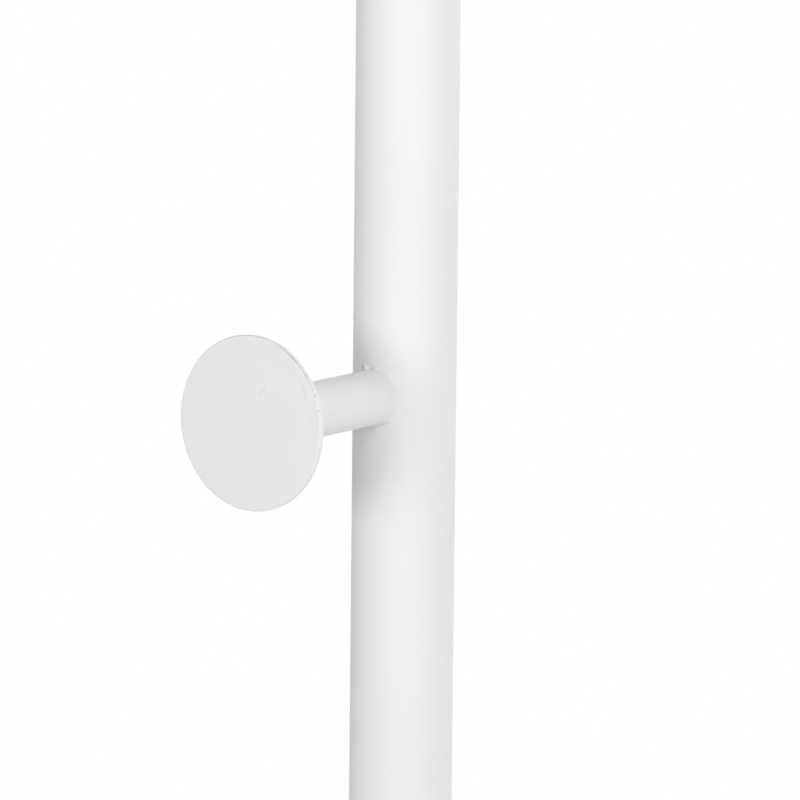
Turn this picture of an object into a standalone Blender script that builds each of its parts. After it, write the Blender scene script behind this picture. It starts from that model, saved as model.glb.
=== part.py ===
"""A white clothes rack of steel tube: two posts on floor tubes, a hanging rail, a stretcher and disc pegs.

X runs along the hanging rail, Y from front to back and Z up. The origin is on the floor, under the
middle of the rack. Each side has a post, a foot with two levelling glides, and two pegs that point
away from the rail. Every joint between two pieces keeps the same small fit gap.
"""

import math

import bmesh
import bpy
from mathutils import Euler

MM = 0.001

# The rack as a whole. Drops are measured down from its top to an axis, and heights up from the floor.
RACK_HEIGHT = 1650 * MM
POST_SPACING = 900 * MM
FOOT_LENGTH = 420 * MM
RAIL_DROP = 60 * MM
STRETCHER_HEIGHT = 160 * MM
FIT_GAP = 0.3 * MM

# Tubes
TUBE_WALL = 1.5 * MM
POST_DIAMETER = 30 * MM
FOOT_DIAMETER = 30 * MM
RAIL_DIAMETER = 25 * MM
STRETCHER_DIAMETER = 25 * MM

# Pegs: a stub of tube welded to the post, with a flat disc welded on its end
PEG_DROPS = {"upper": 250 * MM, "lower": 550 * MM}
STUB_DIAMETER = 16 * MM
STUB_REACH = 56.3 * MM
DISC_DIAMETER = 50 * MM
DISC_THICKNESS = 1.6 * MM
DISC_EDGE = 0.5 * MM
WELD_LEG = 2 * MM
WELD_HOLLOW = 0.3

# End caps of the posts and feet
CAP_HEAD = 3 * MM
CAP_EDGE = 1.2 * MM
CAP_SPIGOT = 14 * MM
CAP_SPIGOT_WALL = 2 * MM

# Bolts that draw the rail and the stretcher against the posts
CROSS_BOLT_DIAMETER = 6 * MM
CROSS_BOLT_LENGTH = 50 * MM
CROSS_HEAD_DIAMETER = 10.5 * MM
CROSS_HEAD_HEIGHT = 3.3 * MM
CROSS_KEY = 4 * MM
CROSS_WASHER_DIAMETER = 13 * MM
CROSS_WASHER_CROWN = 2 * MM
CROSS_PLUG_LENGTH = 24 * MM

# Bolts that draw the posts down onto the feet
FOOT_BOLT_DIAMETER = 8 * MM
FOOT_BOLT_LENGTH = 35 * MM
FOOT_HEAD_DIAMETER = 14 * MM
FOOT_HEAD_HEIGHT = 4.4 * MM
FOOT_KEY = 5 * MM
FOOT_WASHER_DIAMETER = 14 * MM
FOOT_WASHER_CROWN = 4 * MM
POST_PLUG_LENGTH = 30 * MM
DRIVER_ROOM = 1 * MM

PLUG_SETBACK = 1 * MM
SOCKET_DEPTH_SHARE = 0.6

# Levelling glides
GLIDE_INSET = 30 * MM
PAD_DIAMETER = 26 * MM
PAD_HEIGHT = 7 * MM
PAD_EDGE = 0.8 * MM
PAD_RIM = 3.5 * MM
PAD_CROWN_DIAMETER = 14 * MM
PAD_FLOOR = 2.5 * MM
STEM_DIAMETER = 6.4 * MM
COLLAR_ACROSS_FLATS = 13 * MM
COLLAR_HEIGHT = 4 * MM
STUD_DIAMETER = 8 * MM
STUD_LENGTH = 22 * MM
BOSS_DIAMETER = 12 * MM
BOSS_LENGTH = 13 * MM
BOSS_STAND = 0.4 * MM

# Facets
TUBE_SIDES = 24
DISC_SIDES = 48
COPE_SIDES = 48
SMALL_SIDES = 16
HEX_SIDES = 6
WELD_SIDES = 24
DOME_STEPS = 2

# Places that follow from the sizes above
COLLAR_BOTTOM = PAD_HEIGHT + FIT_GAP
BOSS_BOTTOM = COLLAR_BOTTOM + COLLAR_HEIGHT + FIT_GAP
FOOT_AXIS = BOSS_BOTTOM + BOSS_STAND + FOOT_DIAMETER / 2
POST_RADIUS = POST_DIAMETER / 2
POST_TOP = RACK_HEIGHT - CAP_HEAD - FIT_GAP
RAIL_HEIGHT = RACK_HEIGHT - RAIL_DROP
GLIDE_Y = FOOT_LENGTH / 2 - GLIDE_INSET
SIDES = {"left": -1, "right": 1}
ENDS = {"front": -1, "rear": 1}

ALONG_X = Euler((0, math.pi / 2, 0))
ALONG_MINUS_X = Euler((0, -math.pi / 2, 0))
ALONG_Y = Euler((-math.pi / 2, 0, 0))
ALONG_MINUS_Y = Euler((math.pi / 2, 0, 0))
UPRIGHT = Euler((0, 0, 0))

for leftover in list(bpy.data.objects):
    bpy.data.objects.remove(leftover)


def finish_material(name, colour, roughness, metallic):
    material = bpy.data.materials.new(name)
    material.use_nodes = True
    shader = material.node_tree.nodes["Principled BSDF"]
    shader.inputs["Base Color"].default_value = (*colour, 1)
    shader.inputs["Roughness"].default_value = roughness
    shader.inputs["Metallic"].default_value = metallic
    return material


WHITE_COAT = finish_material("white_powder_coat", (0.80, 0.80, 0.79), 0.42, 0)
WHITE_PLASTIC = finish_material("white_plastic", (0.78, 0.78, 0.77), 0.5, 0)
GREY_PLASTIC = finish_material("grey_plastic", (0.32, 0.32, 0.32), 0.55, 0)
ZINC = finish_material("zinc_plated_steel", (0.60, 0.61, 0.63), 0.38, 1)
NICKEL = finish_material("nickel_plated_steel", (0.66, 0.64, 0.60), 0.25, 1)

# Shapes


def turned_mesh(name, outline, sides):
    """A solid turned about Z from (radius, height) points. An outline that starts and ends on the axis
    is solid there, and any other is closed into a ring."""
    shape = bmesh.new()
    points = [shape.verts.new((radius, 0, height)) for radius, height in outline]
    solid = outline[0][0] == 0 and outline[-1][0] == 0
    following = points[1:] if solid else points[1:] + points[:1]
    edges = [shape.edges.new(pair) for pair in zip(points, following)]
    bmesh.ops.spin(
        shape,
        geom=points + edges,
        axis=(0, 0, 1),
        cent=(0, 0, 0),
        angle=2 * math.pi,
        steps=sides,
        use_merge=True,
    )
    bmesh.ops.remove_doubles(shape, verts=shape.verts, dist=MM / 1000)
    bmesh.ops.recalc_face_normals(shape, faces=shape.faces)
    mesh = bpy.data.meshes.new(name)
    shape.to_mesh(mesh)
    shape.free()
    mesh.shade_smooth()
    mesh.set_sharp_from_angle(angle=math.radians(35))
    return mesh


def rod_outline(diameter, length):
    return [(0, 0), (diameter / 2, 0), (diameter / 2, length), (0, length)]


def ring_outline(outer, inner, length):
    return [(inner / 2, 0), (outer / 2, 0), (outer / 2, length), (inner / 2, length)]


def hexagon_diameter(across_flats):
    """The diameter over the corners of a hexagon."""
    return across_flats / math.cos(math.pi / HEX_SIDES)


def add(name, mesh, location, turn=UPRIGHT, parent=None, material=None):
    thing = bpy.data.objects.new(name, mesh)
    bpy.context.scene.collection.objects.link(thing)
    thing.location = location
    thing.rotation_euler = turn
    thing.parent = parent
    if material:
        mesh.materials.append(material)
    return thing


def add_cutter(name, diameter, length, location, turn=UPRIGHT, parent=None, sides=SMALL_SIDES):
    cutter = add(name, turned_mesh(name, rod_outline(diameter, length), sides), location, turn, parent)
    cutter.hide_render = True
    cutter.display_type = "WIRE"
    return cutter


def shape_with(piece, other, operation="DIFFERENCE"):
    modifier = piece.modifiers.new(other.name, "BOOLEAN")
    modifier.operation = operation
    modifier.object = other


# Pieces


def tube(name, diameter, length, location, turn=UPRIGHT):
    outline = ring_outline(diameter, diameter - 2 * TUBE_WALL, length)
    return add(name, turned_mesh(name, outline, TUBE_SIDES), location, turn, material=WHITE_COAT)


def end_cap(name, tube_diameter, location, turn):
    """A plug-in cap: its head covers the tube's end and its hollow spigot sits in the bore."""
    head = tube_diameter / 2
    spigot = head - TUBE_WALL - FIT_GAP
    hollow = spigot - CAP_SPIGOT_WALL
    outline = [
        (0, 0),
        (hollow, 0),
        (hollow, -CAP_SPIGOT),
        (spigot, -CAP_SPIGOT),
        (spigot, 0),
        (head, 0),
        (head, CAP_HEAD - CAP_EDGE),
        (head - CAP_EDGE * (1 - math.cos(math.pi / 4)), CAP_HEAD - CAP_EDGE * (1 - math.sin(math.pi / 4))),
        (head - CAP_EDGE, CAP_HEAD),
        (0, CAP_HEAD),
    ]
    return add(name, turned_mesh(name, outline, TUBE_SIDES), location, turn, material=WHITE_PLASTIC)


def threaded_plug(name, tube_diameter, bolt_diameter, length, location, turn=UPRIGHT):
    outer = tube_diameter - 2 * TUBE_WALL - 2 * FIT_GAP
    outline = ring_outline(outer, bolt_diameter + 2 * FIT_GAP, length)
    return add(name, turned_mesh(name, outline, SMALL_SIDES), location, turn, material=ZINC)


def button_bolt(name, diameter, length, head_diameter, head_height, key, location, turn):
    """A button-head bolt along +Z, with the underside of its head at z = 0 and a hexagon socket."""
    dome = [
        (
            head_diameter / 2 * math.cos(step / DOME_STEPS * math.pi / 3),
            -head_height * math.sin(step / DOME_STEPS * math.pi / 3) / math.sin(math.pi / 3),
        )
        for step in range(DOME_STEPS + 1)
    ]
    outline = [(0, -head_height)] + dome[::-1]
    outline += [(diameter / 2, 0), (diameter / 2, length), (0, length)]
    bolt = add(name, turned_mesh(name, outline, SMALL_SIDES), location, turn, material=NICKEL)
    depth = head_height * SOCKET_DEPTH_SHARE
    socket = add_cutter(
        name + "_key",
        hexagon_diameter(key),
        2 * depth,
        (0, 0, -head_height - depth),
        parent=bolt,
        sides=HEX_SIDES,
    )
    shape_with(bolt, socket)
    return bolt


def cross_tube(name, diameter, height, copes):
    """A rail between the posts, its two ends coped to them."""
    piece = tube(name, diameter, POST_SPACING, (-POST_SPACING / 2, 0, height), ALONG_X)
    for cope in copes.values():
        shape_with(piece, cope)
    return piece


def cross_fixing(label, side, diameter, height, post, cope):
    """The bolt, saddle washer and threaded plug that hold one end of a cross tube."""
    sign = SIDES[side]
    post_x = sign * POST_SPACING / 2
    inwards = ALONG_MINUS_X if sign > 0 else ALONG_X
    head_x = post_x + sign * (POST_RADIUS + CROSS_WASHER_CROWN + 2 * FIT_GAP)
    hole = add_cutter(
        f"{side}_{label}_hole",
        CROSS_BOLT_DIAMETER + 2 * FIT_GAP,
        2 * POST_DIAMETER,
        (post_x + sign * POST_DIAMETER, 0, height),
        inwards,
    )
    shape_with(post, hole)
    plug_x = post_x - sign * (POST_RADIUS + PLUG_SETBACK)
    threaded_plug(
        f"{side}_{label}_plug",
        diameter,
        CROSS_BOLT_DIAMETER,
        CROSS_PLUG_LENGTH,
        (plug_x, 0, height),
        inwards,
    )
    button_bolt(
        f"{side}_{label}_bolt",
        CROSS_BOLT_DIAMETER,
        CROSS_BOLT_LENGTH,
        CROSS_HEAD_DIAMETER,
        CROSS_HEAD_HEIGHT,
        CROSS_KEY,
        (head_x, 0, height),
        inwards,
    )
    name = f"{side}_{label}_washer"
    outline = ring_outline(
        CROSS_WASHER_DIAMETER,
        CROSS_BOLT_DIAMETER + 2 * FIT_GAP,
        CROSS_WASHER_CROWN + CROSS_WASHER_DIAMETER / 2,
    )
    mesh = turned_mesh(name, outline, SMALL_SIDES)
    washer = add(name, mesh, (head_x - sign * FIT_GAP, 0, height), inwards, material=WHITE_PLASTIC)
    shape_with(washer, cope)


def foot_fixing(side, foot, foot_x):
    """The bolt inside a foot, its saddle washer, and the threaded plug in the post's lower end."""
    bore_radius = FOOT_DIAMETER / 2 - TUBE_WALL
    washer_bottom = FOOT_AXIS + bore_radius - FIT_GAP - FOOT_WASHER_CROWN
    clearance_hole = add_cutter(
        f"{side}_foot_bolt_hole",
        FOOT_BOLT_DIAMETER + 2 * FIT_GAP,
        FOOT_DIAMETER,
        (foot_x, 0, FOOT_AXIS),
    )
    driver_hole = add_cutter(
        f"{side}_foot_driver_hole",
        FOOT_HEAD_DIAMETER + 2 * DRIVER_ROOM,
        FOOT_DIAMETER,
        (foot_x, 0, FOOT_AXIS - FOOT_DIAMETER),
    )
    shape_with(foot, clearance_hole)
    shape_with(foot, driver_hole)
    threaded_plug(
        f"{side}_post_plug",
        POST_DIAMETER,
        FOOT_BOLT_DIAMETER,
        POST_PLUG_LENGTH,
        (foot_x, 0, FOOT_AXIS + FOOT_DIAMETER / 2 + PLUG_SETBACK),
    )
    button_bolt(
        f"{side}_foot_bolt",
        FOOT_BOLT_DIAMETER,
        FOOT_BOLT_LENGTH,
        FOOT_HEAD_DIAMETER,
        FOOT_HEAD_HEIGHT,
        FOOT_KEY,
        (foot_x, 0, washer_bottom - FIT_GAP),
        UPRIGHT,
    )
    name = f"{side}_foot_washer"
    outline = ring_outline(
        FOOT_WASHER_DIAMETER, FOOT_BOLT_DIAMETER + 2 * FIT_GAP, FOOT_WASHER_CROWN + FIT_GAP
    )
    mesh = turned_mesh(name, outline, SMALL_SIDES)
    washer = add(name, mesh, (foot_x, 0, washer_bottom), material=WHITE_PLASTIC)
    bore = add_cutter(
        f"{side}_foot_bore",
        2 * (bore_radius - FIT_GAP),
        FOOT_LENGTH,
        (foot_x, -FOOT_LENGTH / 2, FOOT_AXIS),
        ALONG_Y,
        sides=COPE_SIDES,
    )
    shape_with(washer, bore, "INTERSECT")


def weld_mesh(name):
    """A fillet weld round the root of a peg's stub. The stub runs along +Z and the post along X, so the
    bead follows the saddle line where the two round surfaces meet."""
    inner = STUB_DIAMETER / 2 + FIT_GAP
    outer = STUB_DIAMETER / 2 + WELD_LEG
    surface = POST_RADIUS + FIT_GAP

    def on_post(angle, radius):
        return math.sqrt(surface**2 - (radius * math.sin(angle)) ** 2)

    shape = bmesh.new()
    rings = []
    for step in range(WELD_SIDES):
        angle = 2 * math.pi * step / WELD_SIDES
        root = on_post(angle, inner)
        middle = inner + (outer - inner) * WELD_HOLLOW
        section = [
            (inner, root),
            (outer, on_post(angle, outer)),
            (middle, on_post(angle, middle) + WELD_LEG * WELD_HOLLOW),
            (inner, root + WELD_LEG),
        ]
        rings.append(
            [
                shape.verts.new((radius * math.cos(angle), radius * math.sin(angle), height))
                for radius, height in section
            ]
        )
    for ring, after in zip(rings, rings[1:] + rings[:1]):
        for corner in range(len(ring)):
            beside = (corner + 1) % len(ring)
            shape.faces.new((ring[corner], ring[beside], after[beside], after[corner]))
    bmesh.ops.recalc_face_normals(shape, faces=shape.faces)
    mesh = bpy.data.meshes.new(name)
    shape.to_mesh(mesh)
    shape.free()
    mesh.shade_smooth()
    mesh.set_sharp_from_angle(angle=math.radians(35))
    return mesh


def peg(side, level, cope):
    """A stub of tube coped to the post, the weld round its root and the disc on its end."""
    sign = SIDES[side]
    name = f"{side}_{level}_peg"
    seat = bpy.data.objects.new(name + "_seat", None)
    bpy.context.scene.collection.objects.link(seat)
    seat.location = (sign * POST_SPACING / 2, 0, RACK_HEIGHT - PEG_DROPS[level])
    seat.rotation_euler = ALONG_X if sign > 0 else ALONG_MINUS_X
    stub_end = POST_RADIUS + STUB_REACH
    outline = ring_outline(STUB_DIAMETER, STUB_DIAMETER - 2 * TUBE_WALL, stub_end)
    mesh = turned_mesh(name + "_stub", outline, TUBE_SIDES)
    stub = add(name + "_stub", mesh, (0, 0, 0), parent=seat, material=WHITE_COAT)
    shape_with(stub, cope)
    add(name + "_weld", weld_mesh(name + "_weld"), (0, 0, 0), parent=seat, material=WHITE_COAT)
    rim = DISC_DIAMETER / 2
    outline = [
        (0, 0),
        (rim - DISC_EDGE, 0),
        (rim, DISC_EDGE),
        (rim, DISC_THICKNESS - DISC_EDGE),
        (rim - DISC_EDGE, DISC_THICKNESS),
        (0, DISC_THICKNESS),
    ]
    mesh = turned_mesh(name + "_disc", outline, DISC_SIDES)
    add(name + "_disc", mesh, (0, 0, stub_end + FIT_GAP), parent=seat, material=WHITE_COAT)


def glide(side, end, foot):
    """A levelling glide: a boss in the underside of the foot, a hexagon stud and a swivelling pad."""
    name = f"{side}_{end}_glide"
    axis = bpy.data.objects.new(name + "_axis", None)
    bpy.context.scene.collection.objects.link(axis)
    axis.location = (SIDES[side] * POST_SPACING / 2, ENDS[end] * GLIDE_Y, 0)

    hole = add_cutter(
        name + "_hole",
        BOSS_DIAMETER + 2 * FIT_GAP,
        FOOT_AXIS,
        (0, 0, 0),
        parent=axis,
    )
    shape_with(foot, hole)
    outline = ring_outline(BOSS_DIAMETER, STUD_DIAMETER + 2 * FIT_GAP, BOSS_LENGTH)
    mesh = turned_mesh(name + "_boss", outline, SMALL_SIDES)
    add(name + "_boss", mesh, (0, 0, BOSS_BOTTOM), parent=axis, material=ZINC)

    stem_bottom = PAD_FLOOR + FIT_GAP
    collar_top = COLLAR_BOTTOM + COLLAR_HEIGHT
    outline = [
        (0, stem_bottom),
        (STEM_DIAMETER / 2, stem_bottom),
        (STEM_DIAMETER / 2, COLLAR_BOTTOM + COLLAR_HEIGHT / 2),
        (STUD_DIAMETER / 2, COLLAR_BOTTOM + COLLAR_HEIGHT / 2),
        (STUD_DIAMETER / 2, collar_top + STUD_LENGTH),
        (0, collar_top + STUD_LENGTH),
    ]
    mesh = turned_mesh(name + "_stud", outline, SMALL_SIDES)
    stud = add(name + "_stud", mesh, (0, 0, 0), parent=axis, material=ZINC)
    collar = add_cutter(
        name + "_collar",
        hexagon_diameter(COLLAR_ACROSS_FLATS),
        COLLAR_HEIGHT,
        (0, 0, COLLAR_BOTTOM),
        parent=axis,
        sides=HEX_SIDES,
    )
    shape_with(stud, collar, "UNION")

    socket = STEM_DIAMETER / 2 + FIT_GAP
    outline = [
        (0, 0),
        (PAD_DIAMETER / 2 - PAD_EDGE, 0),
        (PAD_DIAMETER / 2, PAD_EDGE),
        (PAD_DIAMETER / 2, PAD_RIM),
        (PAD_CROWN_DIAMETER / 2, PAD_HEIGHT),
        (socket, PAD_HEIGHT),
        (socket, PAD_FLOOR),
        (0, PAD_FLOOR),
    ]
    mesh = turned_mesh(name + "_pad", outline, TUBE_SIDES)
    add(name + "_pad", mesh, (0, 0, 0), parent=axis, material=GREY_PLASTIC)


def post_with_cope(side):
    """A post, and the cutter that copes other tubes to its surface."""
    post_x = SIDES[side] * POST_SPACING / 2
    post = tube(f"{side}_post", POST_DIAMETER, POST_TOP - FOOT_AXIS, (post_x, 0, FOOT_AXIS))
    end_cap(f"{side}_post_cap", POST_DIAMETER, (post_x, 0, POST_TOP + FIT_GAP), UPRIGHT)
    cope = add_cutter(
        f"{side}_post_cope",
        POST_DIAMETER + 2 * FIT_GAP,
        RACK_HEIGHT,
        (post_x, 0, 0),
        sides=COPE_SIDES,
    )
    return post, cope


def foot_under(side, post):
    """A foot with its two caps, and the saddle that it cuts in the lower end of its post."""
    foot_x = SIDES[side] * POST_SPACING / 2
    length = FOOT_LENGTH - 2 * (CAP_HEAD + FIT_GAP)
    foot = tube(f"{side}_foot", FOOT_DIAMETER, length, (foot_x, -length / 2, FOOT_AXIS), ALONG_Y)
    for end, direction in ENDS.items():
        outwards = ALONG_Y if direction > 0 else ALONG_MINUS_Y
        cap_y = direction * (length / 2 + FIT_GAP)
        end_cap(f"{side}_{end}_foot_cap", FOOT_DIAMETER, (foot_x, cap_y, FOOT_AXIS), outwards)
    saddle = add_cutter(
        f"{side}_foot_saddle",
        FOOT_DIAMETER + 2 * FIT_GAP,
        FOOT_LENGTH,
        (foot_x, -FOOT_LENGTH / 2, FOOT_AXIS),
        ALONG_Y,
        sides=COPE_SIDES,
    )
    shape_with(post, saddle)
    foot_fixing(side, foot, foot_x)
    for end in ENDS:
        glide(side, end, foot)


def build_rack():
    posts, copes = {}, {}
    for side in SIDES:
        posts[side], copes[side] = post_with_cope(side)
        foot_under(side, posts[side])
        for level in PEG_DROPS:
            peg(side, level, copes[side])
    cross_tube("hanging_rail", RAIL_DIAMETER, RAIL_HEIGHT, copes)
    cross_tube("stretcher", STRETCHER_DIAMETER, STRETCHER_HEIGHT, copes)
    for side in SIDES:
        cross_fixing("rail", side, RAIL_DIAMETER, RAIL_HEIGHT, posts[side], copes[side])
        cross_fixing(
            "stretcher", side, STRETCHER_DIAMETER, STRETCHER_HEIGHT, posts[side], copes[side]
        )


build_rack()
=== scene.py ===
# %% [markdown]
# # A white clothes rack, piece by piece
# The rack is made of round steel tube under a white powder coat. Its sizes and its moving bodies were
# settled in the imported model, so the lesson starts by loading that model as a frame. Every piece below is
# built straight in the frame's own metres, which leaves nothing to fit or to scale afterwards.

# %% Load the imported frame
import math

import bmesh
import bpy
from mathutils import Matrix, Vector


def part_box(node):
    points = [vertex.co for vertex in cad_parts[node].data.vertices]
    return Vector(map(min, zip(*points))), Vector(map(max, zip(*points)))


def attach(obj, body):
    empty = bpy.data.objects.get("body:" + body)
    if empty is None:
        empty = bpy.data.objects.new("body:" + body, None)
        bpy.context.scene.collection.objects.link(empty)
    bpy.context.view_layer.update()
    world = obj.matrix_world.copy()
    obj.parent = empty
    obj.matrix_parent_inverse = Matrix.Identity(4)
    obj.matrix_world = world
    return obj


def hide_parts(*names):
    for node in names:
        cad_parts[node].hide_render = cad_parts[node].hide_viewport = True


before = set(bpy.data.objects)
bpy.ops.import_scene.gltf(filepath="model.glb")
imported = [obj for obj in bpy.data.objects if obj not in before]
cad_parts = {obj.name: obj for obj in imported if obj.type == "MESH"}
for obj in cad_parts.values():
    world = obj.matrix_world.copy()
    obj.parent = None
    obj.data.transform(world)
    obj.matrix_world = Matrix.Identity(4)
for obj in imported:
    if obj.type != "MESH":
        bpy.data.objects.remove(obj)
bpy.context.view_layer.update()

MM = 0.001
SIDES = {"left": -1, "right": 1}
ENDS = {"front": -1, "rear": 1}
LEVELS = ("upper", "lower")


def middle(node):
    """The middle of a node's box."""
    low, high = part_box(node)
    return (low + high) / 2


def size(node):
    """The three sides of a node's box."""
    low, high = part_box(node)
    return high - low


# %% [markdown]
# ## The camera
# The photograph looks at the upper peg of the left post from the front left, through a long lens two metres
# away. A camera could be aimed by eye or by a Track To constraint. Here its three axes are worked out from
# a yaw, a fall and a roll, because those can be read and changed one at a time.

# %% Camera
PHOTO_LENS = 315
PHOTO_DISTANCE = 2026 * MM
PHOTO_YAW = math.radians(36.35)
PHOTO_FALL = math.radians(9.63)
PHOTO_ROLL = math.radians(0.58)
ROOT_RIGHT_OF_MIDDLE = 1.3 * MM
ROOT_ABOVE_MIDDLE = 2.8 * MM

peg_root = Vector((middle("left_post").x, middle("left_post").y, middle("left_upper_peg_disc").z))


def photo_axes():
    """The camera's own right, up and forward, in the frame."""
    level = math.cos(PHOTO_FALL)
    forward = Vector((math.cos(PHOTO_YAW) * level, math.sin(PHOTO_YAW) * level, -math.sin(PHOTO_FALL)))
    right = Vector((math.sin(PHOTO_YAW), -math.cos(PHOTO_YAW), 0))
    roll = Matrix.Rotation(-PHOTO_ROLL, 3, forward)
    return roll @ right, roll @ right.cross(forward), forward


right, up, forward = photo_axes()
place = peg_root - PHOTO_DISTANCE * forward - ROOT_RIGHT_OF_MIDDLE * right - ROOT_ABOVE_MIDDLE * up
camera = bpy.data.objects.new("photo_camera", bpy.data.cameras.new("photo_camera"))
camera.data.lens = PHOTO_LENS
camera.matrix_world = Matrix.Translation(place) @ Matrix((right, up, -forward)).transposed().to_4x4()
bpy.context.scene.collection.objects.link(camera)
bpy.context.scene.camera = camera
print("the camera stands at", tuple(round(part, 3) for part in place))

# %% [markdown]
# ## Meshes from rings
# Nearly every piece of the rack is round somewhere, so nearly every piece can be drawn as a row of rings
# with faces stretched from each ring to the next. Blender's own cylinders would do for a first look, but
# they have no rounded edges and no coped ends. A ring is only a list of points, so it can follow a saddle, a
# hexagon or a screw thread just as easily as a circle.

# %% Rings and lofts
ROUND_SIDES = 128
SHARP_ANGLE = math.radians(35)


def turns(sides):
    """The angles of a ring's points, evenly spaced."""
    return [2 * math.pi * step / sides for step in range(sides)]


def ring(radius, height, sides=ROUND_SIDES):
    """A circle round the local Z axis, or one point where it has no radius."""
    if radius == 0:
        return [(0, 0, height)]
    return [(radius * math.cos(turn), radius * math.sin(turn), height) for turn in turns(sides)]


def loft(rings, joined=False):
    """Faces from each ring to the next, and from the last to the first if they are joined."""
    shape = bmesh.new()
    loops = [[shape.verts.new(point) for point in points] for points in rings]
    pairs = list(zip(loops, loops[1:]))
    if joined:
        pairs.append((loops[-1], loops[0]))
    for near, far in pairs:
        sides = max(len(near), len(far))
        for step in range(sides):
            after = (step + 1) % sides
            corners = [near[step % len(near)], near[after % len(near)]]
            corners += [far[after % len(far)], far[step % len(far)]]
            shape.faces.new(list(dict.fromkeys(corners)))
    bmesh.ops.recalc_face_normals(shape, faces=shape.faces)
    return shape


def seat(place, direction, beside):
    """The matrix that stands a shape at a place, its own Z along direction and its own X beside it."""
    along = Vector(direction).normalized()
    across = Vector(beside).normalized()
    return Matrix.Translation(place) @ Matrix((across, along.cross(across), along)).transposed().to_4x4()


print("a round ring has", ROUND_SIDES, "points, one every", round(360 / ROUND_SIDES, 2), "degrees")

# %% [markdown]
# A real edge is never quite sharp: powder coat flows over it, and a mould needs a radius. The Bevel
# modifier could round the finished meshes, but it works on every edge alike. Here the outline is rounded
# before it is turned, corner by corner, with a spare point on each side of a corner that keeps the flat
# faces flat when they are shaded smooth.

# %% Rounded outlines
ARC_STEPS = 5
HOLDING_SHARE = 1.35


def softened(corners):
    """Outline points from (radius, height, rounding) corners, each rounding drawn as a small curve."""
    outline = []
    for index, (radius, height, rounding) in enumerate(corners):
        corner = Vector((radius, height))
        if rounding == 0:
            outline.append(corner)
            continue
        back = (Vector(corners[index - 1][:2]) - corner).normalized() * rounding
        onward = (Vector(corners[(index + 1) % len(corners)][:2]) - corner).normalized() * rounding
        outline.append(corner + back * HOLDING_SHARE)
        for step in range(ARC_STEPS + 1):
            share = step / ARC_STEPS
            outline.append(corner + back * (1 - share) ** 2 + onward * share**2)
        outline.append(corner + onward * HOLDING_SHARE)
    return outline


def turned(corners, sides=ROUND_SIDES):
    """The rings of an outline that is turned round the local Z axis."""
    return [ring(radius, height, sides) for radius, height in softened(corners)]


print("a rounded corner is drawn with", ARC_STEPS + 3, "points")

# %% [markdown]
# ## Finishes
# The rack has five finishes: white powder coat on the steel, white and grey moulded plastic, zinc plate and
# nickel plate. Each could be one colour and one roughness, but up close a coat has orange peel, a moulding
# has a fine grain and plating is cloudy. Those effects are node groups, built once and then placed in each
# material with its own values, and a small helper keeps the wiring readable.

# %% Helpers for shader nodes
COLOUR_A = 6
COLOUR_B = 7
COLOUR_RESULT = 2


def put(tree, kind, inputs=None, **settings):
    """Places a node, sets its options, and feeds its inputs from plain values or other nodes' outputs."""
    node = tree.nodes.new("ShaderNode" + kind)
    for name, value in settings.items():
        setattr(node, name, value)
    for name, value in (inputs or {}).items():
        if isinstance(value, bpy.types.NodeSocket):
            tree.links.new(value, node.inputs[name])
        else:
            node.inputs[name].default_value = value
    return node


def math_of(tree, operation, first, second):
    """The result of a Math node on two values."""
    return put(tree, "Math", {0: first, 1: second}, operation=operation).outputs[0]


def spread(tree, value, low, high, to_low=0.0, to_high=1.0):
    """The value, taken softly from the range low to high into the range to_low to to_high."""
    inputs = {"Value": value, "From Min": low, "From Max": high, "To Min": to_low, "To Max": to_high}
    return put(tree, "MapRange", inputs, interpolation_type="SMOOTHSTEP").outputs["Result"]


def tint(tree, share, first, second):
    """The first colour, going over to the second by a share."""
    inputs = {0: share, COLOUR_A: first, COLOUR_B: second}
    return put(tree, "Mix", inputs, data_type="RGBA").outputs[COLOUR_RESULT]


print("colour mixes use inputs", COLOUR_A, "and", COLOUR_B)

# %% [markdown]
# The size of a grain or a chip is known in millimetres, while Blender's textures ask how many of them go
# into a metre. It could be worked out by hand for each, but a helper makes fewer mistakes. A second helper
# starts a node group: it gives the group its named sockets, and the place on the piece that all its textures
# need.

# %% Helpers for textures and groups


def density(tree, grain):
    """How many grains go into a metre, for a grain's width that is a value or another node's output."""
    if isinstance(grain, bpy.types.NodeSocket):
        return math_of(tree, "DIVIDE", 1.0, grain)
    return 1 / grain


def noise(tree, where, grain, detail, roughness=0.5):
    """Noise whose lumps are about as wide as grain."""
    inputs = {"Vector": where, "Scale": density(tree, grain), "Detail": detail, "Roughness": roughness}
    return put(tree, "TexNoise", inputs).outputs["Fac"]


def new_group(name, inputs, outputs):
    """A node group with named sockets, the place on the piece, what the group is given and what it makes."""
    group = bpy.data.node_groups.new(name, "ShaderNodeTree")
    for label, value in inputs.items():
        kind = "NodeSocketVector" if isinstance(value, tuple) else "NodeSocketFloat"
        group.interface.new_socket(label, in_out="INPUT", socket_type=kind).default_value = value
    for label in outputs:
        group.interface.new_socket(label, in_out="OUTPUT", socket_type="NodeSocketFloat")
    where = put(group, "TexCoord").outputs["Object"]
    given = group.nodes.new("NodeGroupInput").outputs
    made = group.nodes.new("NodeGroupOutput").inputs
    return group, where, given, made


print("a grain of 1 mm goes", round(density(None, MM)), "times into a metre")

# %% [markdown]
# Powder is sprayed on dry and melts in an oven, so the coat lies in low soft waves one or two millimetres
# wide, which painters call orange peel. A displacement would need millions of faces for it, so it is a bump.
# The same group gives a slow drift in tone, where the film is thicker or thinner, and a drift in gloss.

# %% Group: orange peel
PEEL_WAVE = 1.4 * MM
PEEL_DRIFT = 45 * MM
FINE_WIDTH_SHARE = 0.3
FINE_HEIGHT_SHARE = 0.25
GLOSS_WIDTH_SHARE = 0.2

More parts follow.
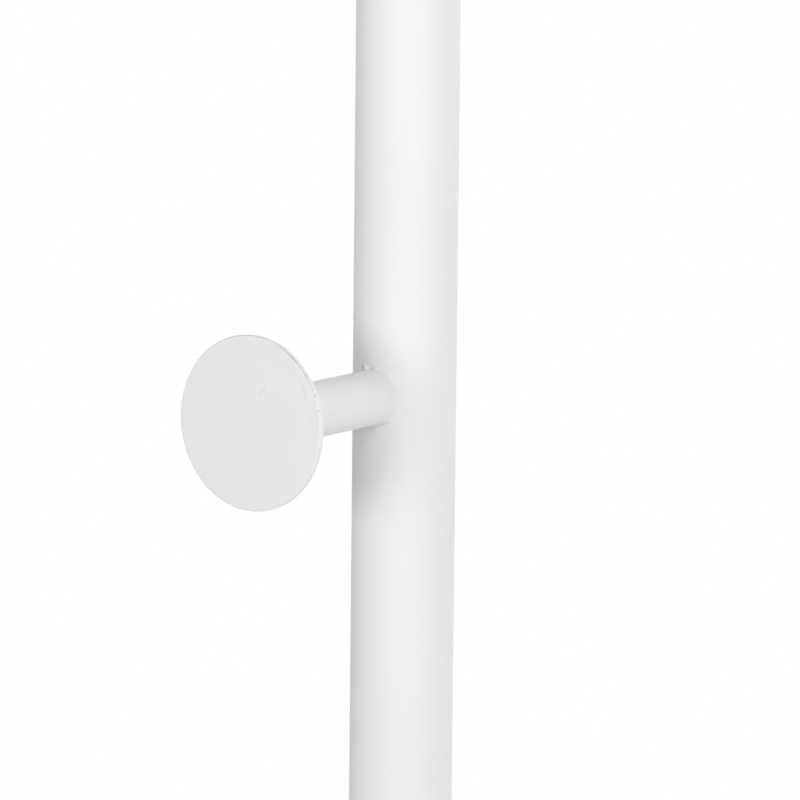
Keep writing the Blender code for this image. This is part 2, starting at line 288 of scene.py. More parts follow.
group, where, given, made = new_group(
    "orange_peel", {"Wave": PEEL_WAVE, "Drift": PEEL_DRIFT}, ("Height", "Tone", "Gloss")
)
fine_wave = math_of(group, "MULTIPLY", given["Wave"], FINE_WIDTH_SHARE)
fine_height = math_of(group, "MULTIPLY", noise(group, where, fine_wave, detail=1.0), FINE_HEIGHT_SHARE)
peel_height = math_of(group, "ADD", noise(group, where, given["Wave"], detail=1.0), fine_height)
gloss_drift = math_of(group, "MULTIPLY", given["Drift"], GLOSS_WIDTH_SHARE)
group.links.new(peel_height, made["Height"])
group.links.new(noise(group, where, given["Drift"], detail=3.0), made["Tone"])
group.links.new(noise(group, where, gloss_drift, detail=2.0), made["Gloss"])
orange_peel = group
print("group", group.name, "has", len(group.nodes), "nodes")

# %% [markdown]
# A coat pulls thin over a punched edge and chips there first. The mesh says where an edge is exposed, with a
# value on its points called edge_wear_and_shade, and this group breaks that band into short uneven chips. The
# same value also paints shade: behind the first peg's burr and over part of its disc's rounded edge.
# Painting the chips by hand would need a picture, and a formula on the angle alone would look too regular.

# %% Group: edge chips
CHIP_SIZE = 0.8 * MM
CHIP_REACH = 0.75
CHIP_LEVELS = (0.35, 0.65)
CHIP_START = 0.2

group, where, given, made = new_group(
    "edge_chips_and_shade", {"Exposure": 0.0, "Chip": CHIP_SIZE, "Reach": CHIP_REACH}, ("Mask",)
)
lumps = noise(group, where, given["Chip"], detail=3.0, roughness=0.6)
hardness = spread(group, lumps, *CHIP_LEVELS, given["Reach"], 1.0)
darkened = math_of(group, "MULTIPLY", given["Exposure"], hardness)
group.links.new(spread(group, darkened, CHIP_START, 1.0), made["Mask"])
edge_chips_and_shade = group
print("group", group.name, "has", len(group.nodes), "nodes")

# %% [markdown]
# Hands and hangers leave faint warm rubs on a white disc. One group draws one rub: an ellipse of a given
# length, width and turn about a point on the disc's face, fading out and broken up by noise. It is placed as
# often as a disc has rubs.

# %% Group: rub mark
RUB_FADE = (0.25, 0.02)
RUB_GRAIN = 0.9 * MM
RUB_LEVELS = (0.2, 0.6)

group, where, given, made = new_group(
    "rub_mark",
    {"Centre": (0.0, 0.0, 0.0), "Length": 4 * MM, "Width": 1.2 * MM, "Turn": 0.0},
    ("Mask",),
)
from_centre = put(group, "VectorMath", {0: where, 1: given["Centre"]}, operation="SUBTRACT").outputs[0]
laid = put(
    group, "VectorRotate", {"Vector": from_centre, "Angle": given["Turn"]}, rotation_type="X_AXIS"
).outputs[0]
parts = put(group, "SeparateXYZ", {0: laid}).outputs
far_along = math_of(group, "POWER", math_of(group, "DIVIDE", parts["Y"], given["Length"]), 2.0)
far_across = math_of(group, "POWER", math_of(group, "DIVIDE", parts["Z"], given["Width"]), 2.0)
outline = spread(group, math_of(group, "ADD", far_along, far_across), *RUB_FADE)
broken = spread(group, noise(group, where, RUB_GRAIN, detail=3.0), *RUB_LEVELS)
group.links.new(math_of(group, "MULTIPLY", outline, broken), made["Mask"])
rub_mark = group
print("group", group.name, "has", len(group.nodes), "nodes")

# %% [markdown]
# A moulded cap copies the spark-eroded wall of its mould, a grain of a few tenths of a millimetre, and its
# colour swims a little where the plastic flowed. Both plastics use the group, the white one finer.

# %% Group: moulded grain
SWIRL_SIZE = 9 * MM

group, where, given, made = new_group("moulded_grain", {"Grain": 0.35 * MM}, ("Height", "Swirl"))
scale = density(group, given["Grain"])
cells = put(group, "TexVoronoi", {"Vector": where, "Scale": scale}, feature="SMOOTH_F1").outputs["Distance"]
group.links.new(cells, made["Height"])
group.links.new(noise(group, where, SWIRL_SIZE, detail=3.0), made["Swirl"])
moulded_grain = group
print("group", group.name, "has", len(group.nodes), "nodes")

# %% [markdown]
# Plating is bright where the metal was smooth and cloudy where it was not, and fasteners pick up fine
# scratches in their box. Zinc and nickel share the group: zinc gets large cloudy flowers, nickel small ones.

# %% Group: plating clouds
HAZE_SIZE = 3 * MM
SCRATCH_LENGTH = 4 * MM
SCRATCH_SQUEEZE = (1.0, 1.0, 14.0)
SCRATCH_LEVELS = (0.60, 0.72)

group, where, given, made = new_group("plating_clouds", {"Flower": 2 * MM}, ("Cloud", "Scratch"))
scale = density(group, given["Flower"])
flowers = put(group, "TexVoronoi", {"Vector": where, "Scale": scale}, feature="F1").outputs["Color"]
flower_tone = put(group, "RGBToBW", {"Color": flowers}).outputs[0]
haze = noise(group, where, HAZE_SIZE, detail=4.0)
flowers_and_haze = math_of(group, "ADD", flower_tone, haze)
group.links.new(math_of(group, "MULTIPLY", flowers_and_haze, 0.5), made["Cloud"])
squeezed = put(group, "Mapping", {"Vector": where, "Scale": SCRATCH_SQUEEZE}).outputs[0]
streaks = noise(group, squeezed, SCRATCH_LENGTH, detail=5.0, roughness=0.7)
group.links.new(spread(group, streaks, *SCRATCH_LEVELS), made["Scratch"])
plating_clouds = group
print("group", group.name, "has", len(group.nodes), "nodes")

# %% [markdown]
# ## The white powder coat
# A satin white, a hair warmer where the film is thin. The discs need their own rubs, so the coat is made by
# a function that takes a list of them, and the tubes get the same coat with none.

# %% White coat
COAT_WHITE = (0.83, 0.83, 0.828, 1)
COAT_THIN = (0.82, 0.82, 0.816, 1)
# The grey of bare steel in the chips, which also paints shade behind the first peg's burr and on its disc's
# edge.
CHIP_AND_SHADE_GREY = (0.30, 0.30, 0.30, 1)
RUB_GREY = (0.66, 0.65, 0.605, 1)
THIN_LEVELS = (0.35, 0.70)
GLOSS_LEVELS = (0.3, 0.7)
COAT_ROUGHNESS = (0.50, 0.57)
COAT_SPECULAR = 0.3
PEEL_DEPTH = 0.012 * MM


def new_finish(name):
    """A new material, its node tree and its shader."""
    material = bpy.data.materials.new(name)
    material.use_nodes = True
    return material, material.node_tree, material.node_tree.nodes["Principled BSDF"]


def place_group(tree, group, inputs):
    """The outputs of a node group, placed in a material with its own values."""
    return put(tree, "Group", inputs, node_tree=group).outputs


def bumped(tree, height, depth):
    """A normal that follows a height, which goes as deep as depth."""
    return put(tree, "Bump", {"Height": height, "Distance": depth, "Strength": 1.0}).outputs["Normal"]


def white_coat(name, rubs=()):
    """The coat with some rubs, each a centre, a length, a width, a turn and a strength."""
    material, tree, shader = new_finish(name)
    peel = place_group(tree, orange_peel, {"Wave": PEEL_WAVE, "Drift": PEEL_DRIFT})
    colour = tint(tree, spread(tree, peel["Tone"], *THIN_LEVELS), COAT_WHITE, COAT_THIN)
    for centre, length, width, turn, strength in rubs:
        sizes = {"Centre": centre, "Length": length, "Width": width, "Turn": turn}
        rub = math_of(tree, "MULTIPLY", place_group(tree, rub_mark, sizes)["Mask"], strength)
        colour = tint(tree, rub, colour, RUB_GREY)
    exposure = put(tree, "Attribute", attribute_name="edge_wear_and_shade").outputs["Fac"]
    edge = {"Exposure": exposure, "Chip": CHIP_SIZE, "Reach": CHIP_REACH}
    chips_and_shade = place_group(tree, edge_chips_and_shade, edge)["Mask"]
    roughness = spread(tree, peel["Gloss"], *GLOSS_LEVELS, *COAT_ROUGHNESS)
    tree.links.new(tint(tree, chips_and_shade, colour, CHIP_AND_SHADE_GREY), shader.inputs["Base Color"])
    tree.links.new(roughness, shader.inputs["Roughness"])
    tree.links.new(bumped(tree, peel["Height"], PEEL_DEPTH), shader.inputs["Normal"])
    shader.inputs["Specular IOR Level"].default_value = COAT_SPECULAR
    return material


finishes = {"white_coat": white_coat("white_powder_coat")}
print("made", finishes["white_coat"].name)

# %% [markdown]
# ## The two plastics
# The caps and saddle washers are a slightly creamier white than the coat, and duller. The glides' pads are a
# mid grey with a coarser grain, because they are made to slide on floors and not to be looked at.

# %% White and grey plastic
SWIRL_LEVELS = (0.35, 0.65)


def moulded_plastic(name, colour, swirl_colour, grain, depth, dull, duller):
    """A grained plastic, its colour and its roughness swimming between two values."""
    material, tree, shader = new_finish(name)
    moulding = place_group(tree, moulded_grain, {"Grain": grain})
    swirl = spread(tree, moulding["Swirl"], *SWIRL_LEVELS)
    roughness = spread(tree, moulding["Swirl"], *GLOSS_LEVELS, dull, duller)
    tree.links.new(tint(tree, swirl, colour, swirl_colour), shader.inputs["Base Color"])
    tree.links.new(roughness, shader.inputs["Roughness"])
    tree.links.new(bumped(tree, moulding["Height"], depth), shader.inputs["Normal"])
    return material


finishes["white_plastic"] = moulded_plastic(
    "white_moulded_plastic",
    colour=(0.80, 0.795, 0.775, 1),
    swirl_colour=(0.775, 0.77, 0.745, 1),
    grain=0.30 * MM,
    depth=0.008 * MM,
    dull=0.48,
    duller=0.56,
)
finishes["grey_plastic"] = moulded_plastic(
    "grey_moulded_plastic",
    colour=(0.33, 0.33, 0.335, 1),
    swirl_colour=(0.27, 0.27, 0.275, 1),
    grain=0.45 * MM,
    depth=0.02 * MM,
    dull=0.55,
    duller=0.68,
)
print("made", finishes["white_plastic"].name, "and", finishes["grey_plastic"].name)

# %% [markdown]
# ## The two plated metals
# The glides' studs and bosses and the plugs inside the tubes are zinc plated, a cool cloudy grey. The button
# bolts are nickel plated, brighter and a little warm.

# %% Zinc and nickel
CLOUD_TONE_LEVELS = (0.25, 0.75)
CLOUD_GLOSS_LEVELS = (0.2, 0.8)
SCRATCH_ROUGHNESS = 0.15


def plated_metal(name, colour, cloud_colour, flower, bright, cloudy):
    """A plated metal, its colour and its roughness going from bright to cloudy, with fine scratches."""
    material, tree, shader = new_finish(name)
    shader.inputs["Metallic"].default_value = 1.0
    plating = place_group(tree, plating_clouds, {"Flower": flower})
    cloud = spread(tree, plating["Cloud"], *CLOUD_TONE_LEVELS)
    tree.links.new(tint(tree, cloud, colour, cloud_colour), shader.inputs["Base Color"])
    roughness = spread(tree, plating["Cloud"], *CLOUD_GLOSS_LEVELS, bright, cloudy)
    scratched = math_of(tree, "MULTIPLY", plating["Scratch"], SCRATCH_ROUGHNESS)
    tree.links.new(math_of(tree, "ADD", roughness, scratched), shader.inputs["Roughness"])
    return material


finishes["zinc_steel"] = plated_metal(
    "zinc_plate",
    colour=(0.66, 0.67, 0.69, 1),
    cloud_colour=(0.52, 0.53, 0.55, 1),
    flower=1.6 * MM,
    bright=0.26,
    cloudy=0.44,
)
finishes["nickel_steel"] = plated_metal(
    "nickel_plate",
    colour=(0.74, 0.71, 0.66, 1),
    cloud_colour=(0.64, 0.615, 0.575, 1),
    flower=0.7 * MM,
    bright=0.16,
    cloudy=0.28,
)
print("made", finishes["zinc_steel"].name, "and", finishes["nickel_steel"].name)

# %% [markdown]
# ## From a shape to a piece
# A shape becomes a piece when it has a name, a finish and a body to ride on, and when the nodes of the
# imported model that it stands for are hidden. One function does all of that, so that no piece can miss a
# step.

# %% Make a piece


def make_piece(name, shape, matrix, body, slot, *nodes, finish=None):
    """A named, finished object from a shape, riding on a body in place of some nodes."""
    shape.transform(matrix)
    mesh = bpy.data.meshes.new(name)
    shape.to_mesh(mesh)
    shape.free()
    mesh.shade_smooth()
    mesh.set_sharp_from_angle(angle=SHARP_ANGLE)
    mesh.materials.append(finish or finishes[slot])
    piece = bpy.data.objects.new(name, mesh)
    bpy.context.scene.collection.objects.link(piece)
    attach(piece, body)
    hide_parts(*nodes)
    return piece


def drill(piece, radius, start, direction, depth):
    """Cuts a round hole into a piece with a Boolean, and keeps only the cut mesh."""
    beside = (0, 0, 1) if direction[0] else (1, 0, 0)
    shape = loft([ring(0, 0), ring(radius, 0), ring(radius, depth), ring(0, depth)])
    shape.transform(seat(start, direction, beside))
    cutter = bpy.data.objects.new("drill", bpy.data.meshes.new("drill"))
    shape.to_mesh(cutter.data)
    shape.free()
    bpy.context.scene.collection.objects.link(cutter)
    cut = piece.modifiers.new("hole", "BOOLEAN")
    cut.operation = "DIFFERENCE"
    cut.object = cutter
    drilled = bpy.data.meshes.new_from_object(piece.evaluated_get(bpy.context.evaluated_depsgraph_get()))
    piece.modifiers.clear()
    piece.data = drilled
    drilled.set_sharp_from_angle(angle=SHARP_ANGLE)
    bpy.data.objects.remove(cutter)


print("a drilled hole has", ROUND_SIDES, "sides")

# %% [markdown]
# ## Tubes with coped ends
# Where one tube meets the side of another, its end is cut to a saddle, so that it sits tight all round. A
# Boolean with the other tube would cut it, but leaves long thin faces. The saddle is also a short formula:
# at a point some way off the other tube's axis, the surface is lower by Pythagoras. So the end rings are
# simply drawn on the saddle, with the other tube along the local X axis.

# %% Tube shapes
TUBE_WALL = 1.5 * MM
EDGE_BREAK = 0.3 * MM
HAIRLINE = 0.08 * MM
# How far each ring of a broken edge lies in from the side and up from the end, counted in edge breaks.
LIP = ((1.0, 0.0), (0.3, 0.3), (0.0, 1.0), (0.0, 2.0))


def saddle(radius):
    """The height of a tube along the local X axis, at a turn and a distance from the local Z axis."""
    return lambda turn, distance: math.sqrt(radius**2 - (distance * math.sin(turn)) ** 2)


def flat(height):
    """The height function of a square end."""
    return lambda turn, distance: height


def ring_on(height, distance, rise=0.0):
    """A ring whose points lie on a height function, lifted by rise."""
    return [
        (distance * math.cos(turn), distance * math.sin(turn), height(turn, distance) + rise)
        for turn in turns(ROUND_SIDES)
    ]


def tube(radius, bottom, top, bands=()):
    """A tube between two height functions: up the outside with its edges broken, and down the bore."""
    bore = radius - TUBE_WALL
    rings = [ring_on(bottom, bore)]
    rings += [ring_on(bottom, radius - EDGE_BREAK * inset, EDGE_BREAK * rise) for inset, rise in LIP]
    rings += [ring(radius, band) for band in bands]
    rings += [ring_on(top, radius - EDGE_BREAK * inset, -EDGE_BREAK * rise) for inset, rise in LIP[::-1]]
    rings.append(ring_on(top, bore))
    return loft(rings, joined=True)


print("tube walls are", TUBE_WALL / MM, "mm, and their edges are broken by", EDGE_BREAK / MM, "mm")

# %% [markdown]
# ## The posts
# Each post is one tube, coped onto its foot at the bottom and square at the top, with a cross hole for the
# rail's bolt and one for the stretcher's. Two rings close to each hole keep the Boolean's odd faces under
# the washer, where no one sees their shading.

# %% Posts
BOLT_HOLE_RADIUS = 3.3 * MM
HOLE_BAND = 6 * MM

post_radius = size("left_post").x / 2
foot_radius = size("left_foot").x / 2
foot_axis = middle("left_foot").z
cross_heights = {"rail": middle("hanging_rail").z, "stretcher": middle("stretcher").z}
post_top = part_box("left_post")[1].z

for side in SIDES:
    node = f"{side}_post"
    axis = Vector((middle(node).x, middle(node).y, foot_axis))
    bands = []
    for height in sorted(cross_heights.values()):
        bands += [height - foot_axis - HOLE_BAND, height - foot_axis + HOLE_BAND]
    shape = tube(post_radius, saddle(foot_radius + HAIRLINE), flat(post_top - foot_axis), bands)
    post = make_piece(
        f"{side}_post_tube", shape, seat(axis, (0, 0, 1), (0, 1, 0)), "frame", "white_coat", node
    )
    for height in cross_heights.values():
        start = Vector((axis.x - 2 * post_radius, axis.y, height))
        drill(post, BOLT_HOLE_RADIUS, start, (1, 0, 0), 4 * post_radius)
    print(post.name, "is", round((post_top - foot_axis) / MM, 1), "mm long")

# %% [markdown]
# ## The feet
# A foot lies along the floor from front to back, on two glides. Its underside has a hole for each glide's
# boss, and in the middle a larger hole for the key that tightens the post's bolt. These holes do show from
# below, so each sits between two rings of its own.

# %% Feet
BOSS_HOLE_PLAY = 0.15 * MM
KEY_HOLE_RADIUS = 8 * MM
POST_BOLT_HOLE_RADIUS = 4.3 * MM
UNDERSIDE_BAND = 11 * MM

boss_radius = size("left_front_glide_boss").x / 2

for side in SIDES:
    node = f"{side}_foot"
    low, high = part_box(node)
    axis = Vector((middle(node).x, low.y, foot_axis))
    length = high.y - low.y
    boss_places = [middle(f"{side}_{end}_glide_boss") for end in ENDS]
    bands = []
    for y in sorted([boss_place.y for boss_place in boss_places] + [middle(node).y]):
        bands += [y - low.y - UNDERSIDE_BAND, y - low.y + UNDERSIDE_BAND]
    shape = tube(foot_radius, flat(0), flat(length), bands)
    foot = make_piece(
        f"{side}_foot_tube", shape, seat(axis, (0, 1, 0), (0, 0, 1)), "frame", "white_coat", node
    )
    for boss_place in boss_places:
        start = Vector((boss_place.x, boss_place.y, 0))
        drill(foot, boss_radius + BOSS_HOLE_PLAY, start, (0, 0, 1), foot_axis)
    below_post = Vector((axis.x, middle(node).y, 0))
    drill(foot, KEY_HOLE_RADIUS, below_post, (0, 0, 1), foot_axis)
    drill(foot, POST_BOLT_HOLE_RADIUS, below_post + Vector((0, 0, foot_axis)), (0, 0, 1), foot_axis)
    print(foot.name, "is", round(length / MM, 1), "mm long, with", len(boss_places), "boss holes")

# %% [markdown]
# ## The hanging rail and the stretcher
# Both run from post to post and are coped at both ends. They are drawn from the left post's axis, so the far
# end's saddle is the near one's, turned round and moved along by the distance between the posts.

# %% Hanging rail and stretcher
post_spacing = middle("right_post").x - middle("left_post").x
near_saddle = saddle(post_radius + HAIRLINE)


def far_saddle(turn, distance):
    """The height function of the saddle on the right post."""
    return post_spacing - near_saddle(turn, distance)


for node in ("hanging_rail", "stretcher"):
    radius = size(node).z / 2
    start = Vector((middle("left_post").x, middle(node).y, middle(node).z))
    shape = tube(radius, near_saddle, far_saddle)
    rail = make_piece(
        node + "_tube", shape, seat(start, (1, 0, 0), (0, 0, 1)), "frame", "white_coat", node
    )
    print(rail.name, "is", round(2 * radius / MM, 1), "mm across and reaches", round(post_spacing / MM), "mm")

# %% [markdown]
# ## End caps
# A cap is a mushroom: a hollow spigot that grips the bore, and a head as wide as the tube. The head has a
# rounded rim, a very slight crown, and in its middle the dimple where the plastic entered the mould. All of
# that is one outline, turned once.

# %% End caps
CAP_HEAD = 3 * MM
CAP_ROUNDING = 1.2 * MM
CAP_CROWN = 0.25 * MM
GATE_RADIUS = 1.1 * MM
GATE_DEPTH = 0.2 * MM
SPIGOT_PLAY = 0.3 * MM
SPIGOT_WALL = 2 * MM
SPIGOT_LENGTH = 14 * MM
SPIGOT_LEAD = 0.5 * MM
GATE_EDGE = 0.1 * MM


def end_cap(radius):
    """A cap on a tube's end at z = 0, its head upwards."""
    spigot = radius - TUBE_WALL - SPIGOT_PLAY
    hollow = spigot - SPIGOT_WALL
    return loft(
        turned(
            [
                (0, 0, 0),
                (hollow, 0, 0),
                (hollow, -SPIGOT_LENGTH, 0),
                (spigot, -SPIGOT_LENGTH, SPIGOT_LEAD),
                (spigot, HAIRLINE, 0),
                (radius, HAIRLINE, EDGE_BREAK),
                (radius, CAP_HEAD - CAP_CROWN, CAP_ROUNDING),
                (GATE_RADIUS, CAP_HEAD, GATE_EDGE),
                (GATE_RADIUS - GATE_DEPTH, CAP_HEAD - GATE_DEPTH, GATE_EDGE),
                (0, CAP_HEAD - GATE_DEPTH, 0),
            ]
        )
    )


def upright(node, height):
    """The matrix that stands a shape on a node's own upright axis, at a height."""
    return seat((middle(node).x, middle(node).y, height), (0, 0, 1), (1, 0, 0))


cap_seats = {}
for side in SIDES:
    low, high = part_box(f"{side}_foot")
    cap_seats[f"{side}_post_cap"] = upright(f"{side}_post", post_top)
    for end, direction in ENDS.items():
        tube_end = (middle(f"{side}_foot").x, high.y if direction > 0 else low.y, foot_axis)
        cap_seats[f"{side}_{end}_foot_cap"] = seat(tube_end, (0, direction, 0), (0, 0, 1))

for node, matrix in cap_seats.items():
    radius = post_radius if "post" in node else foot_radius
    make_piece(node + "_moulding", end_cap(radius), matrix, "frame", "white_plastic", node)
print("made", len(cap_seats), "end caps")

# %% [markdown]
# ## Button bolts and saddle washers
# A bolt goes through the post into a plug in the rail's end. Its button head has a hexagon socket, and a
# saddle washer takes it from the round post to the flat underside of the head. The socket could be cut with
# a Boolean. Rings are cleaner: the dome's circles simply turn into hexagons at the mouth of the socket.

# %% Button bolts
BOLT_SIDES = 96
BOLT_RADIUS = 3 * MM
HEAD_HEIGHT = 3.3 * MM
HEAD_RIM = 0.5 * MM
HEAD_EDGE = 0.1 * MM
DOME_LEAN = math.pi / 3
DOME_STEPS = 10
KEY_WIDTH = 4 * MM
KEY_DEPTH = 2 * MM
KEY_POINT = 0.5 * MM
KEY_MOUTH = 0.2 * MM
BOLT_CHAMFER = 0.6 * MM
SIXTH_TURN = math.pi / 3


def hexagon(across_flats, height, sides, limit=None):
    """A hexagon ring, cut back to a circle of the given radius where one is given."""
    points = []
    for turn in turns(sides):
        off_flat = (turn + SIXTH_TURN / 2) % SIXTH_TURN - SIXTH_TURN / 2
        distance = across_flats / 2 / math.cos(off_flat)
        if limit:
            distance = min(distance, limit)
        points.append((distance * math.cos(turn), distance * math.sin(turn), height))
    return points


def button_bolt(head_radius, length):
    """A bolt along local Z: the underside of its head is at z = 0 and the head stands below it."""
    rings = [
        ring(0, KEY_DEPTH + KEY_POINT - HEAD_HEIGHT),
        hexagon(KEY_WIDTH, KEY_DEPTH - HEAD_HEIGHT, BOLT_SIDES),
        hexagon(KEY_WIDTH, KEY_MOUTH - HEAD_HEIGHT, BOLT_SIDES),
        hexagon(KEY_WIDTH + KEY_MOUTH, -HEAD_HEIGHT, BOLT_SIDES),
    ]
    for step in range(DOME_STEPS + 1):
        lean = DOME_LEAN * (1 - step / DOME_STEPS)
        rise = (HEAD_HEIGHT - HEAD_RIM) * math.sin(lean) / math.sin(DOME_LEAN)
        rings.append(ring(head_radius * math.cos(lean), -HEAD_RIM - rise, BOLT_SIDES))
    rings += [
        ring(head_radius, -HEAD_EDGE, BOLT_SIDES),
        ring(head_radius - HEAD_EDGE, 0, BOLT_SIDES),
        ring(BOLT_RADIUS, 0, BOLT_SIDES),
        ring(BOLT_RADIUS, length - BOLT_CHAMFER, BOLT_SIDES),
        ring(BOLT_RADIUS - BOLT_CHAMFER, length, BOLT_SIDES),
        ring(0, length),
    ]
    return loft(rings)


def outermost(node, sign):
    """Where a node ends on its outer side, along X: on the right of the rack, or on the left."""
    low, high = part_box(node)
    return high.x if sign > 0 else low.x


for side, sign in SIDES.items():
    for cross in cross_heights:
        node = f"{side}_{cross}_bolt"
        low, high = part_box(node)
        head = (outermost(node, sign) - sign * HEAD_HEIGHT, middle(node).y, middle(node).z)
        shape = button_bolt(size(node).z / 2, high.x - low.x - HEAD_HEIGHT)
        matrix = seat(head, (-sign, 0, 0), (0, 0, 1))
        make_piece(f"{side}_{cross}_button_bolt", shape, matrix, "frame", "nickel_steel", node)
print("made", len(SIDES) * len(cross_heights), "button bolts with a", KEY_WIDTH / MM, "mm key")

# %% Saddle washers
WASHER_ROUNDING = 0.6 * MM
WASHER_PLAY = 0.05 * MM


def saddle_washer(radius, crown):
    """A washer seen from the post's axis: its saddle rests on the post and its crown is flat."""
    rest = saddle(post_radius + WASHER_PLAY)
    rim = softened(
        [
            (radius, crown - 2 * WASHER_ROUNDING, 0),
            (radius, crown, WASHER_ROUNDING),
            (BOLT_HOLE_RADIUS, crown, EDGE_BREAK),
            (BOLT_HOLE_RADIUS, crown - 2 * WASHER_ROUNDING, 0),
        ]
    )
    rings = [ring_on(rest, BOLT_HOLE_RADIUS), ring_on(rest, radius)]
    rings += [ring(distance, height) for distance, height in rim]
    return loft(rings, joined=True)


for side, sign in SIDES.items():
    for cross, height in cross_heights.items():
        node = f"{side}_{cross}_washer"
        head_top = outermost(f"{side}_{cross}_bolt", sign)
        axis = Vector((middle(f"{side}_post").x, middle(node).y, height))
        crown = abs(head_top - axis.x) - HEAD_HEIGHT - WASHER_PLAY
        shape = saddle_washer(size(node).z / 2, crown)
        matrix = seat(axis, (sign, 0, 0), (0, 0, 1))
        make_piece(f"{side}_{cross}_saddle_washer", shape, matrix, "frame", "white_plastic", node)
print("made", len(SIDES) * len(cross_heights), "saddle washers")

# %% [markdown]
# ## The pegs: a stub of tube
# A peg points straight away from the rail, so that a coat or a bag can hang beside the posts. Its stub is a
# short tube, coped to the post and running up to the back of the disc. Its ends go a little under the welds.
# Welding pulls things crooked: the first peg's disc leans back by about one degree, so its stub's end is cut
# to that lean.

# %% Peg stubs
WELD_COVER = 0.15 * MM
# How far a disc's face falls back towards its top and towards its local Y side, as slopes.
DISC_LEANS = {("left", "upper"): (0.0199, 0.005), ("right", "upper"): (-0.006, 0.004)}
STRAIGHT = (0.0, 0.0)

pegs = [(side, level) for side in SIDES for level in LEVELS]
stub_radius = size("left_upper_peg_stub").z / 2
disc_front = abs(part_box("left_upper_peg_disc")[0].x - middle("left_post").x)
disc_back = disc_front - size("left_upper_peg_disc").x


def peg_seat(side, level):
    """A matrix at the post's axis, with local Z out along the peg and local X up the post."""
    height = middle(f"{side}_{level}_peg_disc").z
    return seat(Vector((middle(f"{side}_post").x, 0, height)), (SIDES[side], 0, 0), (0, 0, 1))


def disc_plane(side, level, reach):
    """The height function of a disc's face, which falls back by its two slopes."""
    to_top, to_side = DISC_LEANS.get((side, level), STRAIGHT)
    return lambda turn, distance: reach - distance * (to_top * math.cos(turn) + to_side * math.sin(turn))


for side, level in pegs:
    shape = tube(stub_radius, saddle(post_radius + WELD_COVER), disc_plane(side, level, disc_back))
    node = f"{side}_{level}_peg_stub"
    make_piece(node + "_tube", shape, peg_seat(side, level), "frame", "white_coat", node)
print("made", len(pegs), "stubs,", round((disc_back - post_radius) / MM, 1), "mm from post to disc")

# %% [markdown]
# ## The pegs: the welds
# The root is welded in two runs, one down the front of the stub and one down its back, and between them the
# coat only fills the corner. How far a run reaches out from the stub is called its leg. It could be set point
# by point, but a run is easier to think of as two angles and one leg, with a soft step at both ends and the
# slow waves of a hand that leads the torch.

# %% Weld runs
BARE_LEG = 0.5 * MM
LEG_SWING = 0.07
# Each wave's share, how often it comes round the stub, and where it starts.
LEG_WAVES = ((0.6, 9, 1.2), (0.4, 16, 0.0))
RUN_END = math.radians(28)
# Each run's first and last angle, from the top towards the front, in degrees, and its leg in millimetres.
WELD_RUNS = {
    ("left", "upper"): ((12, 170, 2.0), (-150, -45, 1.7)),
    ("left", "lower"): ((9, 150, 1.9), (-125, -10, 1.8)),
    ("right", "upper"): ((5, 140, 1.8), (-160, -12, 1.6)),
    ("right", "lower"): ((14, 145, 1.7), (-130, -7, 1.9)),
}


def run_leg(turn, first, last, leg):
    """The leg of one run of weld at a turn: full between its two ends, which it reaches in a soft step."""
    along = (turn - first) % (2 * math.pi)
    inside = min(along, last - first - along) / RUN_END
    share = min(1.0, max(0.0, inside))
    return leg * share * share * (3 - 2 * share)


def weld_leg(runs, turn):
    """The whole weld's leg at a turn from the top, with the slow waves of a hand-led run."""
    wave = sum(share * math.sin(count * turn + start) for share, count, start in LEG_WAVES)
    legs = [run_leg(turn, math.radians(first), math.radians(last), leg * MM) for first, last, leg in runs]
    return max(BARE_LEG, max(legs) * (1 + LEG_SWING * wave))


front_leg = weld_leg(WELD_RUNS["left", "upper"], math.radians(90))
print("the first peg's weld has a leg of", round(front_leg / MM, 2), "mm at the front")

# %% [markdown]
# A run is a fillet: a hollow ramp that goes out flat on the stub and flat on the post, which is why it nearly
# vanishes under the coat. A torus would stand proud of both. Here each section is a curve from the stub to
# the post's own slope, carried round the stub. The pool sagged while it was hot, so underneath the ramp
# climbs a little farther along the stub.

# %% Weld fillets
WELD_SIDES = 240
FILLET_STEPS = 10
CLIMB_ABOVE = 1.2
CLIMB_BELOW = 1.4
TUCK = 0.12 * MM


def root_climb(turn):
    """How far the root's ramp climbs along the stub at a turn from the top, as a share of its leg."""
    return CLIMB_ABOVE + (CLIMB_BELOW - CLIMB_ABOVE) * (1 - math.cos(turn)) / 2


def fillet_weld(leg_at, surface, climb_at):
    """A weld round the stub on a surface, its ramp climbing along the stub to a share of its leg."""
    rings = []
    for turn in turns(WELD_SIDES):
        reach = leg_at(turn)
        climb = climb_at(turn)
        toe = Vector((stub_radius + reach, surface(turn, stub_radius + reach)))
        slope = (toe.y - surface(turn, toe.x - TUCK)) / TUCK
        corner = Vector((stub_radius, toe.y - slope * reach))
        head = Vector((stub_radius, corner.y + climb * reach))
        section = [head - Vector((TUCK, 0))]
        for step in range(FILLET_STEPS + 1):
            share = step / FILLET_STEPS
            section.append(head * (1 - share) ** 2 + corner * 2 * share * (1 - share) + toe * share**2)
        section += [toe - Vector((0, climb * TUCK)), corner - Vector((TUCK, climb * TUCK))]
        rings.append([(far * math.cos(turn), far * math.sin(turn), height) for far, height in section])
    return loft(rings, joined=True)


print("a weld is drawn with", WELD_SIDES, "sections, each a curve of", FILLET_STEPS, "steps")

# %% [markdown]
# Each peg gets one such ring at its root, and a thinner one behind its disc, which reaches farther out on the
# disc than along the stub. A gas bubble left a pinhole on top of the first peg's weld. A hole in the mesh
# would be finer than its faces, so the points there only get the same edge_wear_and_shade value as a chipped
# edge: the dark patch is painted, partly the bare steel of the pit and partly the shade inside it.

# %% Weld beads
DISC_LEG = 1.1 * MM
DISC_CLIMB = -0.7
# The pinhole's first and last angle, from the top towards the front, in degrees, and its strength.
PINHOLES = {("left", "upper"): (-10, 5, 0.55)}
PINHOLE_EDGE = 4


